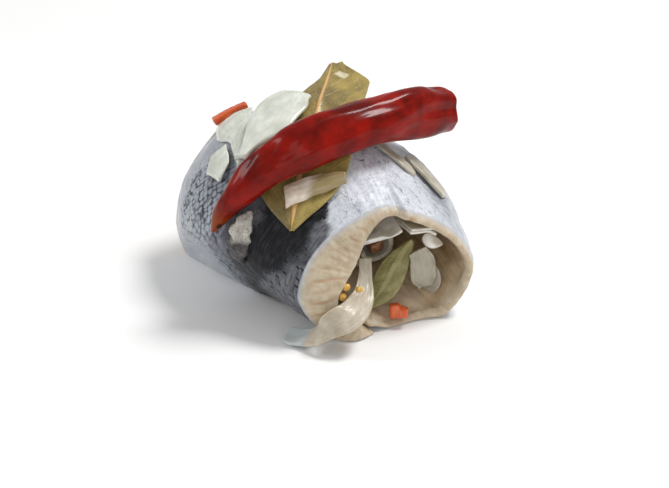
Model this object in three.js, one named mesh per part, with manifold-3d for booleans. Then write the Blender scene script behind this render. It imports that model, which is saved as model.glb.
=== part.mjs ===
// A rollmop: one butterflied pickled herring fillet rolled skin side out round onion and carrot,
// with bay leaves, onion slices, carrot and a whole red chilli on top.
// Millimetres, +Z up. The roll's axis lies along X with the open mouth at +X.
import * as THREE from "three";
import Module from "manifold-3d";

// Each list is far end, middle, mouth.
const HALF_LENGTH = 32;
const HALF_WIDTH = [21, 32.5, 23.1];
const HALF_HEIGHT = [27, 24.3, 20];
const CENTRE_Y = [-5.3, 0, -1.65];
const CENTRE_Z = [11.3, 21.3, 13.3];
const SQUARENESS = 1.61;
const MOUTH_SKEW = { y: 0.24, z: -0.09 };

// Angles round the roll in degrees: 0 under it, 90 front, 180 on top, 270 back.
const WRAP_FROM = 15;
const WRAP_TO = 450;
const LAYER_GAP = 0.5;
const BODY_THICKNESS = 8;
const FAR_THICKNESS = 4.5;
const THIN_RIM = 2.4;
const THICK_RIM = 11;
const FLAP_RIM = 4.4;
const NOTCH = { at: 192, step: 3 };
const RIM_BULGE = 2.4;
const FLAP_REACH = 3.6;

const SEED_RADIUS = 1.05;
const WALL_SEEDS = [[31.1, -13.7, 15.1], [31.2, -15, 12.8]];
const TAIL_SEED = [31.4, -9.9, 13.1];

const FILLING_PATH = [[20, 5, 15.6], [8, 5.6, 18.8], [-10, 2.8, 20.6], [-30, -4.8, 18.8]];
const CLEAR = 0.45;
const LEAF_THICKNESS = 0.7;
const SLICE_THICKNESS = 1.2;
const CHILLI_RADIUS = 6;
const CHILLI_PATH = [
  [0.3, -34.2, 24], [3.2, -31.3, 31.3], [6.2, -27.3, 37.6], [9.6, -21.3, 43.4], [12.6, -13.4, 47.6],
  [14.8, -1, 49.8], [15, 12, 49.7], [14.3, 24, 48.3], [13.7, 36, 46.2],
];

const DEG = Math.PI / 180;
const lerp = (a, b, t) => a + (b - a) * t;
const vec = (p) => new THREE.Vector3(p[0], p[1], p[2]);

function smooth(from, to, t) {
  const s = Math.min(1, Math.max(0, (t - from) / (to - from)));
  return s * s * (3 - 2 * s);
}

function bump(t, centre, half) {
  return smooth(1, 0, Math.abs(t - centre) / half);
}

function through([far, middle, mouth], xi) {
  return middle + (mouth - far) / 2 * xi + ((mouth + far) / 2 - middle) * xi * xi;
}

// A closed solid from a box of nu by nv by nw cells whose surface points are moved by map(u, v, w),
// with u and w from 0 to 1 and v from -1 to 1. Opposite faces are split into triangles alike.
function mappedSlab(nu, nv, nw, map) {
  const ids = new Map();
  const points = [];
  const faces = [];
  const id = (i, j, k) => {
    const key = (i * (nv + 1) + j) * (nw + 1) + k;
    if (!ids.has(key)) {
      ids.set(key, points.length / 3);
      points.push(...map(i / nu, 2 * j / nv - 1, k / nw));
    }
    return ids.get(key);
  };
  const quad = (a, b, c, d, turned) => {
    if (turned) faces.push(a, c, b, a, d, c);
    else faces.push(a, b, c, a, c, d);
  };
  for (let i = 0; i < nu; i++) {
    for (let j = 0; j < nv; j++) {
      for (const k of [0, nw]) {
        quad(id(i, j, k), id(i + 1, j, k), id(i + 1, j + 1, k), id(i, j + 1, k), k === 0);
      }
    }
    for (let k = 0; k < nw; k++) {
      for (const j of [0, nv]) {
        quad(id(i, j, k), id(i + 1, j, k), id(i + 1, j, k + 1), id(i, j, k + 1), j === nv);
      }
    }
  }
  for (let j = 0; j < nv; j++) {
    for (let k = 0; k < nw; k++) {
      for (const i of [0, nu]) {
        quad(id(i, j, k), id(i, j + 1, k), id(i, j + 1, k + 1), id(i, j, k + 1), i === 0);
      }
    }
  }
  return solid(points, faces);
}

// A closed solid from rings of points: map(s, turn) with s from 0 to 1 end to end and turn in radians.
function mappedTube(rings, around, map) {
  const points = [...map(0, 0)];
  const faces = [];
  for (let i = 1; i < rings; i++) {
    for (let j = 0; j < around; j++) points.push(...map(i / rings, 2 * Math.PI * j / around));
  }
  points.push(...map(1, 0));
  const last = points.length / 3 - 1;
  const at = (i, j) => 1 + (i - 1) * around + (j % around);
  for (let j = 0; j < around; j++) {
    faces.push(0, at(1, j + 1), at(1, j));
    faces.push(last, at(rings - 1, j), at(rings - 1, j + 1));
    for (let i = 1; i < rings - 1; i++) {
      faces.push(at(i, j), at(i, j + 1), at(i + 1, j + 1));
      faces.push(at(i, j), at(i + 1, j + 1), at(i + 1, j));
    }
  }
  return solid(points, faces);
}

// Turns the triangles over if the solid would face inwards.
function solid(points, faces) {
  let volume = 0;
  for (let i = 0; i < faces.length; i += 3) {
    const [a, b, c] = [0, 1, 2].map((n) => vec(points.slice(faces[i + n] * 3, faces[i + n] * 3 + 3)));
    volume += a.dot(b.cross(c));
  }
  if (volume < 0) {
    for (let i = 0; i < faces.length; i += 3) [faces[i], faces[i + 1]] = [faces[i + 1], faces[i]];
  }
  const geometry = new THREE.BufferGeometry();
  geometry.setAttribute("position", new THREE.Float32BufferAttribute(points, 3));
  geometry.setIndex(faces);
  return geometry;
}

// ---- The rolled fillet ----

function rimThickness(phi) {
  const flap = (FLAP_RIM - THIN_RIM) * smooth(70, 40, phi);
  const back = (THICK_RIM - THIN_RIM) * smooth(20, 118, phi) * smooth(192, 122, phi);
  return THIN_RIM + flap + back - 0.8 * smooth(310, 345, phi);
}

function thicknessAt(phi, xi) {
  const end = xi > 0 ? rimThickness(phi) : FAR_THICKNESS;
  const body = lerp(BODY_THICKNESS, end, Math.pow(Math.abs(xi), xi > 0 ? 1.7 : 2.2));
  const outerTaper = lerp(0.22, 1, smooth(WRAP_FROM, WRAP_FROM + 26, phi));
  const innerTaper = lerp(0.35, 1, smooth(WRAP_TO, WRAP_TO - 40, phi));
  return body * outerTaper * innerTaper;
}

// How far the wrapped layer lies inside the outline, where it has gone under the outer layer.
function insetAt(phi, xi) {
  const under = Math.max(phi - 360, WRAP_FROM);
  const start = 360 + WRAP_FROM;
  return (LAYER_GAP + thicknessAt(under, xi)) * smooth(start - 16, start, phi);
}

// A point at this angle, at xi from -1 (far end) to 1 (mouth), this deep under the roll's outline.
function rollPoint(phi, xi, depth) {
  const cy = through(CENTRE_Y, xi);
  const cz = through(CENTRE_Z, xi);
  const s = Math.sin(phi * DEG);
  const c = Math.cos(phi * DEG);
  const side = Math.pow(Math.abs(s) / (through(HALF_WIDTH, xi) - depth), SQUARENESS);
  const rise = Math.pow(Math.abs(c) / (through(HALF_HEIGHT, xi) - depth), SQUARENESS);
  const belly = 1 + 0.105 * bump(phi, 42, 34) * bump(xi, 0, 1.02);
  const rho = belly * Math.pow(side + rise, -1 / SQUARENESS);
  const y = cy - rho * s;
  const z = Math.max(cz - rho * c, depth);
  const skew = Math.max(xi, 0) * (MOUTH_SKEW.y * (y - cy) + MOUTH_SKEW.z * (z - cz));
  return [HALF_LENGTH * xi + skew, y, z];
}

const onSkin = (phi, xi, height) => rollPoint(phi, xi, -height);

function filletPoint(u, v, w) {
  const phi = lerp(WRAP_FROM, WRAP_TO, u);
  const reach = v > 0 ? lerp(1, 0.55, smooth(376, 424, phi)) : lerp(1, 0.8, smooth(376, 424, phi));
  const xi = v * reach;
  const depth = insetAt(phi, xi) + w * thicknessAt(phi, xi);
  const point = rollPoint(phi, xi, depth);
  const rim = smooth(0.7, 1, v);
  const roundness = 0.7 * (4 * w * (1 - w)) * (Math.abs(v) === 1 ? Math.sign(v) : 0);
  const notch = NOTCH.step * smooth(NOTCH.at, NOTCH.at + 4, phi) * smooth(330, 250, phi);
  const wave = 0.5 * Math.sin(phi * 5.1 * DEG) * (v > 0 ? rim : smooth(-0.7, -1, v));
  const flap = FLAP_REACH * (1 - 0.4 * w) * bump(phi, 36, 30);
  point[0] += rim * (notch + flap + RIM_BULGE * w * bump(phi, 92, 70)) + wave + roundness;
  return point;
}

// What is left of the back fin, a crumpled ridge across the front of the roll.
function finPoint(s, turn) {
  const phi = lerp(111, 86, s);
  const girth = Math.pow(Math.sin(Math.PI * s), 0.6);
  const crumple = 1 + 0.22 * Math.sin(9 * s * Math.PI + turn) + 0.12 * Math.sin(3 * turn);
  const xi = lerp(0.3, 0.4, s) + 0.1 * girth * crumple * Math.cos(turn);
  return onSkin(phi, xi, 0.4 + 2.8 * girth * crumple * Math.sin(turn));
}

function seed([x, y, z]) {
  return mappedTube(5, 8, (s, turn) => {
    const r = SEED_RADIUS * Math.sin(Math.PI * s);
    return [x + r * Math.cos(turn), y + r * Math.sin(turn), z - SEED_RADIUS * Math.cos(Math.PI * s)];
  });
}

// ---- Thin pieces and sticks ----

// A band of even thickness along a smooth path; side is its width's direction and bow lifts its middle.
function band({ path, side, sideEnd = side, halfWidth, thickness, bow = 0, thinning = 0.45, cells }) {
  const curve = new THREE.CatmullRomCurve3(path.map(vec));
  const width = typeof halfWidth === "function" ? halfWidth : () => halfWidth;
  return mappedSlab(cells[0], cells[1], 1, (u, v, w) => {
    const tangent = curve.getTangent(u);
    const facing = vec(side).lerp(vec(sideEnd), smooth(0.45, 0.85, u));
    const across = facing.addScaledVector(tangent, -facing.dot(tangent)).normalize();
    const normal = tangent.clone().cross(across);
    const taper = 1 - thinning * Math.pow(Math.abs(v), 4);
    const height = (w - 0.5) * thickness * taper + bow * (1 - v * v);
    return curve.getPoint(u)
      .addScaledVector(across, v * width(u))
      .addScaledVector(normal, height)
      .toArray();
  });
}

// An onion layer curved round the filling's middle, over these angles (0 back, 90 up), this far out.
function petal({ from, to, radius, thickness, front, cells }) {
  const curve = new THREE.CatmullRomCurve3(FILLING_PATH.map(vec));
  return mappedSlab(cells[0], cells[1], 1, (u, v, w) => {
    const along = lerp(front, 1, u);
    const angle = lerp(from, to, (v + 1) / 2) * DEG + 0.5 * u;
    const out = (radius + w * thickness) * (1 + 0.04 * Math.sin(9 * u + 2 * v));
    const centre = curve.getPoint(along);
    const x = centre.x + 0.8 * Math.sin(3 * v) * (1 - u);
    return [x, centre.y + out * Math.cos(angle), centre.z + out * Math.sin(angle)];
  });
}

// The height of the roll's top over a point of the table, and how steep it is there.
function roofAt(x, y) {
  let xi = x / HALF_LENGTH;
  let z = 0;
  for (let n = 0; n < 8; n++) {
    const held = Math.min(1, Math.max(-1, xi));
    const cy = through(CENTRE_Y, held);
    const cz = through(CENTRE_Z, held);
    const side = Math.min(0.985, Math.abs(y - cy) / through(HALF_WIDTH, held));
    z = cz + through(HALF_HEIGHT, held) * Math.pow(1 - Math.pow(side, SQUARENESS), 1 / SQUARENESS);
    const skew = Math.max(held, 0) * (MOUTH_SKEW.y * (y - cy) + MOUTH_SKEW.z * (z - cz));
    xi = (x - skew) / HALF_LENGTH;
  }
  return z;
}

function steepnessAt(x, y) {
  const dx = roofAt(x + 0.5, y) - roofAt(x - 0.5, y);
  const dy = roofAt(x, y + 0.5) - roofAt(x, y - 0.5);
  return Math.min(2.2, Math.hypot(1, dx, dy));
}

// A thin piece lying on the roll, seen in plan: from start to end, with half widths to its left and
// right, this high over the skin. lift(u, v) raises parts of it further.
function drapedPoint({ start, end, left, right, height, thickness, lift }, u, v, w) {
  const length = Math.hypot(end[0] - start[0], end[1] - start[1]);
  const ax = (end[0] - start[0]) / length;
  const ay = (end[1] - start[1]) / length;
  const reach = v < 0 ? v * left(u) : v * right(u);
  const x = start[0] + u * length * ax + reach * ay;
  const y = start[1] + u * length * ay - reach * ax;
  const taper = 1 - 0.45 * Math.pow(Math.abs(v), 4);
  const steep = steepnessAt(x, y);
  return [x, y, roofAt(x, y) + steep * (height + w * thickness * taper) + lift(u, v, x, y)];
}

const draped = (shape, nu, nv) => mappedSlab(nu, nv, 1, (u, v, w) => drapedPoint(shape, u, v, w));
const blunt = (t) => (t < 1 ? Math.max(0.14, Math.sqrt(1 - (1 - t) * (1 - t))) : 1);
const pointed = (t) => (t < 1 ? Math.max(0.06, 1 - Math.pow(1 - t, 2.3)) : 1);

// ---- The chilli ----

function chilliPoint(s, turn) {
  const curve = chilliPoint.curve ??= new THREE.CatmullRomCurve3(CHILLI_PATH.map(vec));
  const tangent = curve.getTangent(s);
  const across = new THREE.Vector3(1, 0, 0).addScaledVector(tangent, -tangent.x).normalize();
  const normal = across.clone().cross(tangent);
  const tip = Math.pow(Math.min(1, s / 0.46), 0.6);
  const end = Math.sqrt(Math.max(0, 1 - Math.pow(smooth(0.93, 1, s), 6)));
  const crease = 1 - 0.14 * smooth(0.8, 0.98, s) * Math.pow(Math.abs(Math.cos(turn - 0.2)), 8);
  const folds = crease * (1 + 0.05 * Math.sin(3 * turn + 5 * s) + 0.035 * Math.sin(2 * turn - 17 * s));
  const girth = 1 + 0.07 * smooth(0.5, 0.75, s) - 0.12 * smooth(0.84, 0.97, s);
  const radius = s === 0 || s === 1 ? 0 : CHILLI_RADIUS * girth * tip * Math.max(end, 0.7) * folds;
  const lean = -1.3 * smooth(0.9, 1, s) * Math.sin(turn);
  const groove = lean - 2.2 * smooth(0.96, 1, s) * Math.pow(Math.abs(Math.cos(turn)), 3);
  return curve.getPoint(s)
    .addScaledVector(across, radius * Math.cos(turn))
    .addScaledVector(normal, radius * 1.02 * Math.sin(turn))
    .addScaledVector(tangent, groove)
    .toArray();
}

// ---- The pieces ----

const wasm = await Module();
wasm.setup();

function toManifold(geometry) {
  const vertProperties = geometry.getAttribute("position").array;
  const triVerts = Uint32Array.from(geometry.index.array);
  return new wasm.Manifold(new wasm.Mesh({ numProp: 3, vertProperties, triVerts }));
}

function joined(first, ...others) {
  const whole = others.reduce((sum, one) => sum.add(toManifold(one)), toManifold(first));
  const mesh = whole.getMesh();
  const geometry = new THREE.BufferGeometry();
  geometry.setAttribute("position", new THREE.Float32BufferAttribute(mesh.vertProperties, 3));
  geometry.setIndex(Array.from(mesh.triVerts));
  return geometry;
}

const rollmop = new THREE.Group();

function add(name, geometry, color) {
  const mesh = new THREE.Mesh(geometry, new THREE.MeshStandardMaterial({ color, roughness: 0.4 }));
  mesh.name = name;
  rollmop.add(mesh);
}

const SKIN = 0xa9adb3;
const ONION = 0xd0d1c4;
const LEAF = 0x9a8c4c;
const CARROT = 0xdd7433;
const CHILLI = 0x8f1b10;

const fin = mappedTube(12, 10, finPoint);
add("fillet", joined(mappedSlab(72, 18, 2, filletPoint), fin, ...WALL_SEEDS.map(seed)), SKIN);

const LEAF_TOP = {
  start: [19.2, -22.2],
  end: [-18.8, 18],
  left: (u) => 11.5 * pointed(u / 0.25) * lerp(1, 0.13, Math.pow(smooth(0.56, 1, u), 0.95)),
  right: (u) => 12 * pointed(u / 0.27) * lerp(1, 0.26, smooth(0.84, 1, u)),
  height: CLEAR,
  thickness: LEAF_THICKNESS,
  lift: (u, v, x, y) => {
    const line = lerp(47.1, 50.8, (u - 0.62) / 0.38) + (v > 0 ? 0.8 : -1.6) * v * v;
    return Math.max(0, line - roofAt(x, y)) * smooth(0.56, 0.68, u);
  },
};
add("bay_leaf_top", draped(LEAF_TOP, 20, 8), LEAF);

add("onion_on_leaf", draped({
  start: [14.1, -20.8],
  end: [21.2, -6.6],
  left: (u) => 1.9 * lerp(1, 0.6, smooth(0.6, 1, u)),
  right: (u) => 2.1 * lerp(1, 0.5, smooth(0.6, 1, u)),
  height: CLEAR + LEAF_THICKNESS + 0.5,
  thickness: 1.3,
  lift: (u, v) => 0.5 * (1 - v * v),
}, 10, 4), ONION);

add("onion_top_a", draped({
  start: [-3.2, -22],
  end: [-12.5, 2.2],
  left: (u) => 2.6 + 4.8 * smooth(0.05, 0.6, u) - 1.2 * smooth(0.8, 1, u),
  right: (u) => 1 + 6.4 * smooth(0, 0.45, u) - 3 * smooth(0.72, 1, u),
  height: CLEAR + LEAF_THICKNESS + 1.05,
  thickness: SLICE_THICKNESS,
  lift: (u, v) => 0.3 + 1.5 * Math.pow(u, 2.4) + 0.4 * (1 - v * v),
}, 12, 6), ONION);

add("onion_top_b", draped({
  start: [-4.2, -21.6],
  end: [-26.3, -8.3],
  left: (u) => 1.3 + 1.2 * smooth(0, 0.4, u) + 3.6 * smooth(0.42, 0.75, u),
  right: (u) => 2 + 2 * smooth(0.2, 1, u),
  height: CLEAR,
  thickness: SLICE_THICKNESS,
  lift: (u, v) => 0.4 * (1 - v * v),
}, 12, 5), ONION);

add("onion_top_c", draped({
  start: [-8, -26],
  end: [-17, -19.7],
  left: (u) => 4 * Math.min(1, 0.1 + (0.9 * u) / 0.6) * lerp(1, 0.8, smooth(0.6, 1, u)),
  right: (u) => 2.3 * Math.min(1, 0.15 + (0.85 * u) / 0.3) * lerp(1, 0.6, smooth(0.4, 1, u)),
  height: CLEAR,
  thickness: 1,
  lift: () => 0,
}, 8, 4), ONION);

add("carrot_top", band({
  path: [[-31.9, -12.8, 38.1], [-30.7, -8, 40.1], [-29.3, -3.2, 41.7]],
  side: [1, -0.4, 0.2],
  halfWidth: 1.5,
  thickness: 2.2,
  thinning: 0,
  cells: [6, 2],
}), CARROT);

add("onion_right", draped({
  start: [16, 17.4],
  end: [26.6, 21.6],
  left: (u) => 2.6 * blunt((u + 0.1) / 0.4) * blunt((1.05 - u) / 0.5),
  right: (u) => 2.2 * blunt((u + 0.1) / 0.4) * blunt((1.05 - u) / 0.5),
  height: CLEAR,
  thickness: 1.1,
  lift: () => 0,
}, 8, 4), ONION);

add("onion_right_inner", draped({
  start: [13, 10.2],
  end: [22.6, 14.6],
  left: (u) => 1.6 * blunt((u + 0.1) / 0.3) * blunt((1.03 - u) / 0.4),
  right: (u) => 1.6 * blunt((u + 0.1) / 0.3) * blunt((1.03 - u) / 0.4),
  height: CLEAR,
  thickness: 1,
  lift: () => 0,
}, 8, 4), ONION);

add("chilli", mappedTube(32, 16, chilliPoint), CHILLI);

// ---- Inside the mouth ----

add("onion_mouth_upper", band({
  path: [[21.6, -4.6, 23.4], [23, 2.2, 24.2], [24.8, 6.4, 26.6]],
  side: [1, 0.12, 0.05],
  halfWidth: 6.8,
  thickness: 1.7,
  cells: [8, 5],
}), ONION);

add("onion_mouth_lower", band({
  path: [[27.2, 7, 25.2], [28.2, 11.2, 24.5], [28.8, 14, 22.8]],
  side: [1, 0.1, 0.02],
  halfWidth: 6,
  thickness: 1.6,
  cells: [6, 5],
}), ONION);

add("onion_lump", mappedTube(12, 12, (s, turn) => {
  const girth = Math.pow(Math.sin(Math.PI * s), 0.6) * lerp(2.5, 1.3, s);
  const dent = 1 + 0.12 * Math.sin(3 * turn + 2);
  return [
    lerp(30.2, 33.4, s) + 0.9 * girth * dent * Math.cos(turn),
    lerp(11.4, 15.9, s) - 0.6 * girth * Math.cos(turn),
    lerp(20.7, 19.3, s) + girth * dent * Math.sin(turn),
  ];
}), ONION);

add("onion_hanging", band({
  path: [[29.5, 10.5, 17.4], [30.8, 11.2, 14.5], [31.4, 11.2, 10.6], [32, 11.5, 7.2]],
  side: [0.45, 0.9, 0],
  halfWidth: (u) => 2.6 + 0.9 * smooth(0, 0.4, u) - 1.6 * smooth(0.72, 1, u),
  thickness: 1,
  bow: -0.5,
  cells: [9, 5],
}), ONION);

add("onion_pale", band({
  path: [[30, 14.3, 11.8], [31.4, 14.5, 8.5], [31.4, 13, 5.3]],
  side: [0.8, 0.35, -0.3],
  halfWidth: (u) => 2.4 * blunt((u + 0.08) / 0.4) * blunt((1.08 - u) / 0.5),
  thickness: 0.8,
  cells: [8, 4],
}), ONION);

add("bay_leaf_mouth", band({
  path: [[26.1, 11.5, 18.6], [26.8, 5.2, 12.9], [27.9, 0.4, 8.1], [29.2, -5, 5.4]],
  side: [0.85, 0.36, -0.36],
  halfWidth: (u) => 3.9 * Math.pow(Math.sin(Math.PI * (0.03 + 0.94 * u)), 0.8),
  thickness: 0.6,
  bow: 0.6,
  cells: [14, 6],
}), LEAF);

add("carrot_mouth", band({
  path: [[34.4, 1, 2.8], [34.1, 1.1, 4.6], [33.8, 1.2, 6.5]],
  side: [0.59, 0.81, 0],
  halfWidth: 2.4,
  thickness: 3,
  thinning: 0,
  cells: [3, 2],
}), CARROT);

add("onion_tail", joined(band({
  path: [
    [26.6, -4.4, 18.6], [28.8, -6, 15.2], [33.3, -10.2, 11.9], [36.8, -16.8, 10.5],
    [34.9, -21.1, 8.3], [31.5, -23.1, 4.4], [27.2, -24.5, 2.2], [23.2, -27.4, 1.8],
  ],
  side: [0.75, 0.55, -0.35],
  sideEnd: [0.66, -0.75, -0.32],
  halfWidth: (u) => (1.7 + 2.1 * smooth(0.1, 0.42, u) - 0.9 * smooth(0.45, 0.7, u)) * blunt((1.015 - u) / 0.08),
  thickness: 1,
  cells: [20, 5],
}), seed(TAIL_SEED)), ONION);

add("carrot_core", band({
  path: FILLING_PATH,
  side: [0, 1, 0.3],
  halfWidth: 1.8,
  thickness: 3.4,
  thinning: 0,
  cells: [10, 2],
}), CARROT);

add("onion_ring_inner", petal({
  from: 190, to: 400, radius: 3.7, thickness: 1.4, front: 0.02, cells: [9, 9],
}), ONION);

add("onion_ring_middle", petal({
  from: -50, to: 175, radius: 6.1, thickness: 1.5, front: 0.165, cells: [9, 10],
}), ONION);

add("onion_ring_outer", petal({
  from: 120, to: 318, radius: 8.7, thickness: 1.4, front: 0.21, cells: [9, 10],
}), ONION);

add("onion_ring_top", petal({
  from: -34, to: 112, radius: 9.2, thickness: 1.6, front: 0.2, cells: [9, 8],
}), ONION);

const extent = new THREE.Box3().setFromObject(rollmop);
rollmop.position.x = -(extent.min.x + extent.max.x) / 2;
rollmop.position.y = -(extent.min.y + extent.max.y) / 2;

export default rollmop;
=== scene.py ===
"""A rollmop: pickled herring rolled round onion, topped with bay leaf, onion, carrot and a chilli.

Lengths are millimetres until a mesh is made. +X is the open mouth and +Z is up.
"""

import bpy
import numpy as np
from mathutils import Matrix, Vector


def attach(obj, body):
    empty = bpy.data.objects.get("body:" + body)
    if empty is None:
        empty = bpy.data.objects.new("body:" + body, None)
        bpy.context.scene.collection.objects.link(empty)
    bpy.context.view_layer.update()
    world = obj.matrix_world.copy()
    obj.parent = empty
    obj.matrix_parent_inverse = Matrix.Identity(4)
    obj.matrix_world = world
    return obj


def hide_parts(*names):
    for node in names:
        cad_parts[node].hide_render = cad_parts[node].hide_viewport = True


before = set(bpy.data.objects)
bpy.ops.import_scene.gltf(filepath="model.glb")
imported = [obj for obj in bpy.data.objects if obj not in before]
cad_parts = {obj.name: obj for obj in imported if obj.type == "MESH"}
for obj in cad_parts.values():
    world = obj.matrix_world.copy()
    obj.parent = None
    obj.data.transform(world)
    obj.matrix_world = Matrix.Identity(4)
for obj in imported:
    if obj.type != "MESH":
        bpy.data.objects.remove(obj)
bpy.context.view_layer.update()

MM = 0.001
# Puts the middle of the plan box at the origin, as in the solids.
SHIFT = np.array([-3.2121047973632812, 0.39377593994140625, 0.0])

# ---- The roll's form ----

# Where there are three numbers, they are for the far end, the middle and the mouth.
HALF_LENGTH = 32
HALF_WIDTH = (21, 32.5, 23.1)
HALF_HEIGHT = (27, 24.3, 20)
CENTRE_Y = (-5.3, 0, -1.65)
CENTRE_Z = (11.3, 21.3, 13.3)
SQUARENESS = 1.61
MOUTH_SKEW = (0.24, -0.09)
WRAP_FROM, WRAP_TO = 15, 450
LAYER_GAP = 0.5
BODY_THICKNESS, FAR_THICKNESS = 8, 4.5
THIN_RIM, THICK_RIM, FLAP_RIM = 2.4, 11, 4.4
NOTCH_AT, NOTCH_STEP = 192, 3
END_ROUNDING = 2
RIM_BULGE, FLAP_REACH = 2.4, 3.6
SKIN_PER_DEGREE = 0.45
FILLING_PATH = [[20, 5, 15.6], [8, 5.6, 18.8], [-10, 2.8, 20.6], [-30, -4.8, 18.8]]
CLEAR = 0.45
LEAF_THICKNESS = 0.7
SLICE_THICKNESS = 1.2


def smooth(start, end, t):
    s = np.clip((np.asarray(t, float) - start) / (end - start), 0, 1)
    return s * s * (3 - 2 * s)


def bump(t, centre, half):
    return smooth(1, 0, np.abs(np.asarray(t, float) - centre) / half)


def lerp(a, b, t):
    return a + (b - a) * t


def through(three, xi):
    far, middle, mouth = three
    return middle + (mouth - far) / 2 * xi + ((mouth + far) / 2 - middle) * xi * xi


def ripple(p, size, seed, count=9):
    """Smooth random relief over points p with features of about this size, mostly within -1 to 1."""
    rng = np.random.default_rng(seed)
    total = 0
    for _ in range(count):
        way = rng.normal(size=np.shape(p)[-1])
        way *= 2 * np.pi / size * rng.uniform(0.55, 1.5) / np.linalg.norm(way)
        total = total + np.sin(np.asarray(p) @ way + rng.uniform(0, 2 * np.pi))
    return total / np.sqrt(count)


def rim_thickness(phi):
    flap = (FLAP_RIM - THIN_RIM) * smooth(70, 40, phi)
    back = (THICK_RIM - THIN_RIM) * smooth(20, 118, phi) * smooth(NOTCH_AT, 122, phi)
    return THIN_RIM + flap + back - 0.8 * smooth(310, 345, phi)


def thickness_at(phi, xi):
    end = np.where(xi > 0, rim_thickness(phi), FAR_THICKNESS)
    body = lerp(BODY_THICKNESS, end, np.abs(xi) ** np.where(xi > 0, 1.7, 2.2))
    outer = lerp(0.22, 1, smooth(WRAP_FROM, WRAP_FROM + 26, phi))
    inner = lerp(0.35, 1, smooth(WRAP_TO, WRAP_TO - 40, phi))
    return body * outer * inner


def inset_at(phi, xi):
    """How deep the fillet's skin lies: 0 on the first turn, then under the layer above."""
    under = np.maximum(phi - 360, WRAP_FROM)
    start = 360 + WRAP_FROM
    return (LAYER_GAP + thickness_at(under, xi)) * smooth(start - 16, start, phi)


def roll_point(phi, xi, depth):
    """The point phi degrees round the roll, xi (-1 to 1) along it and this deep under its skin."""
    cy = through(CENTRE_Y, xi)
    cz = through(CENTRE_Z, xi)
    s, c = np.sin(np.radians(phi)), np.cos(np.radians(phi))
    side = (np.abs(s) / (through(HALF_WIDTH, xi) - depth)) ** SQUARENESS
    rise = (np.abs(c) / (through(HALF_HEIGHT, xi) - depth)) ** SQUARENESS
    belly = 1 + 0.105 * bump(phi, 42, 34) * bump(xi, 0, 1.02)
    rho = belly * (side + rise) ** (-1 / SQUARENESS)
    y = cy - rho * s
    z = np.maximum(cz - rho * c, depth)
    skew = np.maximum(xi, 0) * (MOUTH_SKEW[0] * (y - cy) + MOUTH_SKEW[1] * (z - cz))
    return np.stack([HALF_LENGTH * xi + skew, y, z], -1)


def roof_at(x, y):
    """The height of the roll's top over a point in plan."""
    xi = x / HALF_LENGTH
    for _ in range(8):
        held = np.clip(xi, -1, 1)
        cy, cz = through(CENTRE_Y, held), through(CENTRE_Z, held)
        side = np.minimum(0.985, np.abs(y - cy) / through(HALF_WIDTH, held))
        z = cz + through(HALF_HEIGHT, held) * (1 - side**SQUARENESS) ** (1 / SQUARENESS)
        skew = np.maximum(held, 0) * (MOUTH_SKEW[0] * (y - cy) + MOUTH_SKEW[1] * (z - cz))
        xi = (x - skew) / HALF_LENGTH
    return z


def steepness_at(x, y):
    """How far up to go, over a point in plan, for each millimetre clear of the skin."""
    dx = roof_at(x + 0.5, y) - roof_at(x - 0.5, y)
    dy = roof_at(x, y + 0.5) - roof_at(x, y - 0.5)
    return np.minimum(2.2, np.sqrt(1 + dx * dx + dy * dy))


def curve_points(path, t):
    """Points at t from 0 to 1 on a centripetal Catmull-Rom curve through path."""
    p = np.asarray(path, float)
    p = np.vstack([2 * p[0] - p[1], p, 2 * p[-1] - p[-2]])
    at = np.clip(np.asarray(t, float), 0, 1) * (len(path) - 1)
    i = np.minimum(at.astype(int), len(path) - 2)
    w = (at - i)[..., None]
    x0, x1, x2, x3 = p[i], p[i + 1], p[i + 2], p[i + 3]
    d0, d1, d2 = (np.sqrt(np.linalg.norm(b - a, axis=-1, keepdims=True))
                  for a, b in ((x0, x1), (x1, x2), (x2, x3)))
    t1 = ((x1 - x0) / d0 - (x2 - x0) / (d0 + d1) + (x2 - x1) / d1) * d1
    t2 = ((x2 - x1) / d1 - (x3 - x1) / (d1 + d2) + (x3 - x2) / d2) * d1
    return x1 + t1 * w + (-3 * x1 + 3 * x2 - 2 * t1 - t2) * w**2 + (2 * x1 - 2 * x2 + t1 + t2) * w**3


def unit(v):
    return v / np.maximum(np.linalg.norm(v, axis=-1, keepdims=True), 1e-12)


def curve_tangents(path, t):
    a, b = np.clip(t - 1e-4, 0, 1), np.clip(t + 1e-4, 0, 1)
    return unit(curve_points(path, b) - curve_points(path, a))


# ---- Meshes ----


def grid_faces(rows, cols, closed=False):
    i = np.arange(rows - 1)[:, None]
    j = np.arange(cols if closed else cols - 1)[None, :]
    a, b = i * cols + j, i * cols + (j + 1) % cols
    return np.stack([a, b, b + cols, a + cols], -1).reshape(-1, 4)


def vertex_normals(points, faces):
    """Unit normals of a quad mesh, averaged over each vertex's faces."""
    a, b, c, d = (points[faces[:, n]] for n in range(4))
    normal = np.cross(c - a, d - b)
    total = np.zeros_like(points)
    for n in range(4):
        np.add.at(total, faces[:, n], normal)
    return unit(total)


def facing_out(points, faces):
    """The faces turned so that a closed mesh faces outwards."""
    volume = 0.0
    for face in faces:
        p = points[face]
        volume += np.einsum("ij,ij->i", p[:, 0], np.cross(p[:, 1], p[:, 2])).sum()
        if face.shape[1] == 4:
            volume += np.einsum("ij,ij->i", p[:, 0], np.cross(p[:, 2], p[:, 3])).sum()
    return [face[:, ::-1] if volume < 0 else face for face in faces]


def new_object(name, data):
    obj = bpy.data.objects.new(name, data)
    bpy.context.collection.objects.link(obj)
    return obj


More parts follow.
